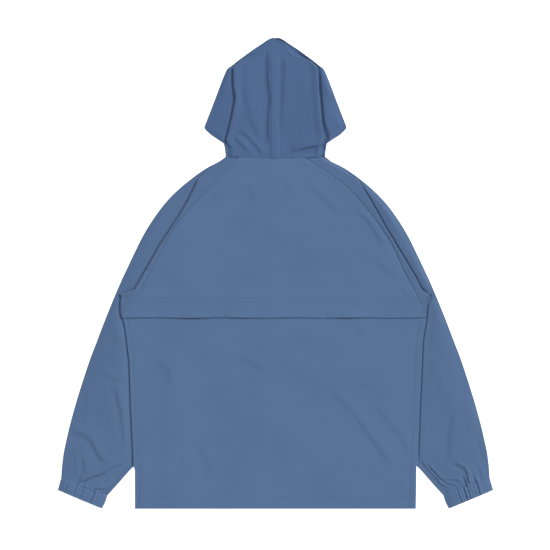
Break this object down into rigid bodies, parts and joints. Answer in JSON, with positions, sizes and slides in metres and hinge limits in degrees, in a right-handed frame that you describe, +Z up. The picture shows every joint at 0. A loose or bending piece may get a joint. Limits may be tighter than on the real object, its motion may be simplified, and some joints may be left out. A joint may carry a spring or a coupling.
{
  "type": "hooded zip-up jacket",
  "caption": "Loose hooded windbreaker with raglan sleeves, vented back flap and gathered cuffs, laid flat on its zipped front.",
  "frame": {"origin": "On the surface that the jacket lies on, under the centre of its outline; z = 0 is the underside of the fronts.", "axes": "+X to the right seen from above with the hood at the top, +Y from the hem towards the hood, +Z up out of the jacket's back."},
  "size_m": [0.914, 0.988, 0.0085],
  "materials": {
    "shell": "matte slate-blue plain-woven polyester shell",
    "zip_tape": "woven zip tape in a darker blue",
    "zip_teeth": "moulded zip teeth and end box",
    "zip_metal": "dull gunmetal slider and pull"
  },
  "bodies": {
    "jacket": {"back_yoke": "shell", "back_lower": "shell", "front_left": "shell", "front_right": "shell", "sleeve_left": "shell", "sleeve_right": "shell", "cuff_left": "shell", "cuff_right": "shell", "hood_left": "shell", "hood_right": "shell", "zip_tape_left": "zip_tape", "zip_tape_right": "zip_tape", "zip_chain": "zip_teeth", "zip_slider": "zip_metal", "zip_box": "zip_teeth"},
    "pull": {"zip_pull": "zip_metal"}
  },
  "joints": [
    {"name": "pull_swing", "type": "hinge", "parent": "jacket", "child": "pull", "pos_m": [0, 0.146, 0.0018], "axis": [1, 0, 0], "range_deg": [0, 180]}
  ]
}
